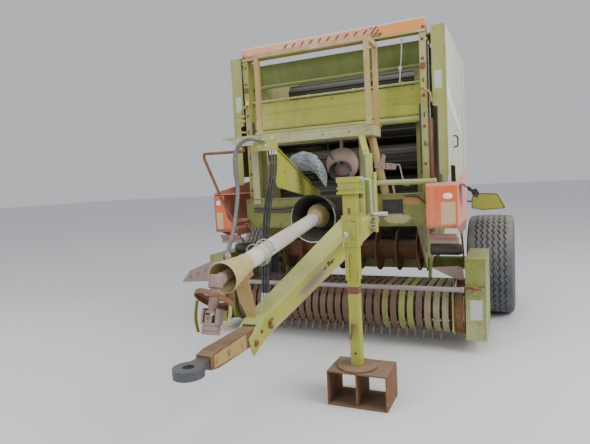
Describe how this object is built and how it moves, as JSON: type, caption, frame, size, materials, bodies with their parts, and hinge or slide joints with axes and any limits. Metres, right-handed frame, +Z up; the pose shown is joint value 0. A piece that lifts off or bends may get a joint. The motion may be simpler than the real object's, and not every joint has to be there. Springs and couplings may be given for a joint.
{
  "type": "round baler",
  "caption": "Towed round baler with a roller bale chamber, hinged tailgate, lifting tine pick-up, offset drawbar with ring eye, drive shaft and a jack standing on a steel box.",
  "frame": {"origin": "on the ground, centred on the box of the whole machine", "axes": "+X to the machine's left, +Y backwards from hitch to tailgate, +Z up"},
  "size_m": [2.5, 3.914, 2.296],
  "materials": {
    "green_paint": "faded yellow-green farm enamel, dusty and chipped",
    "dark_green_paint": "dark green enamel under dust",
    "orange_paint": "faded orange-red enamel",
    "ochre_paint": "worn ochre paint with rust",
    "rusty_steel": "rusted bare steel",
    "dark_steel": "dark worn steel",
    "cylinder_paint": "reddish brown primer",
    "bright_rod": "dull chrome",
    "tyre_rubber": "dusty black rubber",
    "rim_paint": "chalky off-white enamel",
    "black_plastic": "moulded black guard",
    "white_plastic": "dusty pale guard tube",
    "yellow_plastic": "aged yellow guard"
  },
  "bodies": {
    "chassis": {"frame_left": "green_paint", "frame_right": "green_paint", "head_beam": "green_paint", "top_beam": "orange_paint", "hood_sheet": "dark_green_paint", "front_apron": "green_paint", "front_tubes": "rusty_steel", "front_rollers": "dark_steel", "axle_beam": "green_paint", "drawbar": "green_paint", "drawbar_tongue": "rusty_steel", "hitch_eye": "dark_steel", "gearbox": "dark_steel", "pto_bell": "black_plastic", "pto_shaft": "white_plastic", "pto_guard": "yellow_plastic", "pto_yoke": "rusty_steel", "pto_stand": "rusty_steel", "platform": "green_paint", "handrail": "ochre_paint", "guard_left": "orange_paint", "guard_right": "orange_paint", "mudguards": "green_paint", "jack_sleeve": "green_paint", "support_box": "rusty_steel", "feed_rotor": "rusty_steel", "hose_bracket": "green_paint"},
    "tailgate": {"tailgate_walls": "green_paint", "tailgate_shell": "green_paint", "tailgate_arms": "green_paint", "tailgate_covers": "green_paint", "tail_rollers": "dark_steel"},
    "ram_barrel_left": {"ram_barrel_left": "cylinder_paint"},
    "ram_rod_left": {"ram_rod_left": "bright_rod"},
    "ram_barrel_right": {"ram_barrel_right": "cylinder_paint"},
    "ram_rod_right": {"ram_rod_right": "bright_rod"},
    "cover_left": {"side_cover_left": "green_paint"},
    "cover_right": {"side_cover_right": "green_paint"},
    "wheel_left": {"tyre_left": "tyre_rubber", "rim_left": "rim_paint"},
    "wheel_right": {"tyre_right": "tyre_rubber", "rim_right": "rim_paint"},
    "pickup": {"pickup_frame": "green_paint", "stripper_bands": "green_paint", "windguard": "rusty_steel"},
    "reel": {"pickup_reel": "rusty_steel"},
    "jack": {"jack_leg": "green_paint"}
  },
  "joints": [
    {"name": "tailgate_lift", "type": "hinge", "parent": "chassis", "child": "tailgate", "pos_m": [0, 0.47, 2.1], "axis": [1, 0, 0], "range_deg": [0, 55]},
    {"name": "ram_swing_left", "type": "hinge", "parent": "chassis", "child": "ram_barrel_left", "pos_m": [0.721, 0.065, 1.14], "axis": [1, 0, 0], "range_deg": [-16, 2]},
    {"name": "ram_slide_left", "type": "slide", "parent": "ram_barrel_left", "child": "ram_rod_left", "axis": [0, 0.005, 1], "range_m": [-0.34, 0]},
    {"name": "ram_swing_right", "type": "hinge", "parent": "chassis", "child": "ram_barrel_right", "pos_m": [-0.721, 0.065, 1.14], "axis": [1, 0, 0], "range_deg": [-16, 2]},
    {"name": "ram_slide_right", "type": "slide", "parent": "ram_barrel_right", "child": "ram_rod_right", "axis": [0, 0.005, 1], "range_m": [-0.34, 0]},
    {"name": "cover_left_hinge", "type": "hinge", "parent": "chassis", "child": "cover_left", "pos_m": [0.748, 0.58, 2.226], "axis": [0, -1, 0], "range_deg": [0, 70]},
    {"name": "cover_right_hinge", "type": "hinge", "parent": "chassis", "child": "cover_right", "pos_m": [-0.748, 0.58, 2.226], "axis": [0, 1, 0], "range_deg": [0, 70]},
    {"name": "wheel_left_spin", "type": "hinge", "parent": "chassis", "child": "wheel_left", "pos_m": [1.066, 1.07, 0.425], "axis": [1, 0, 0], "continuous": true},
    {"name": "wheel_right_spin", "type": "hinge", "parent": "chassis", "child": "wheel_right", "pos_m": [-1.066, 1.07, 0.425], "axis": [1, 0, 0], "continuous": true},
    {"name": "pickup_lift", "type": "hinge", "parent": "chassis", "child": "pickup", "pos_m": [0, 0.5, 0.52], "axis": [-1, 0, 0], "range_deg": [0, 15]},
    {"name": "reel_spin", "type": "hinge", "parent": "pickup", "child": "reel", "pos_m": [0, 0.06, 0.265], "axis": [1, 0, 0], "continuous": true},
    {"name": "jack_slide", "type": "slide", "parent": "chassis", "child": "jack", "axis": [0, 0, 1], "range_m": [0, 0.3]}
  ],
  "couplings": [
    {"joint": "ram_swing_left", "follows": "tailgate_lift", "ratio": -0.22261},
    {"joint": "ram_slide_left", "follows": "tailgate_lift", "m_per_rad": -0.34117},
    {"joint": "ram_swing_right", "follows": "tailgate_lift", "ratio": -0.22261},
    {"joint": "ram_slide_right", "follows": "tailgate_lift", "m_per_rad": -0.34117}
  ]
}
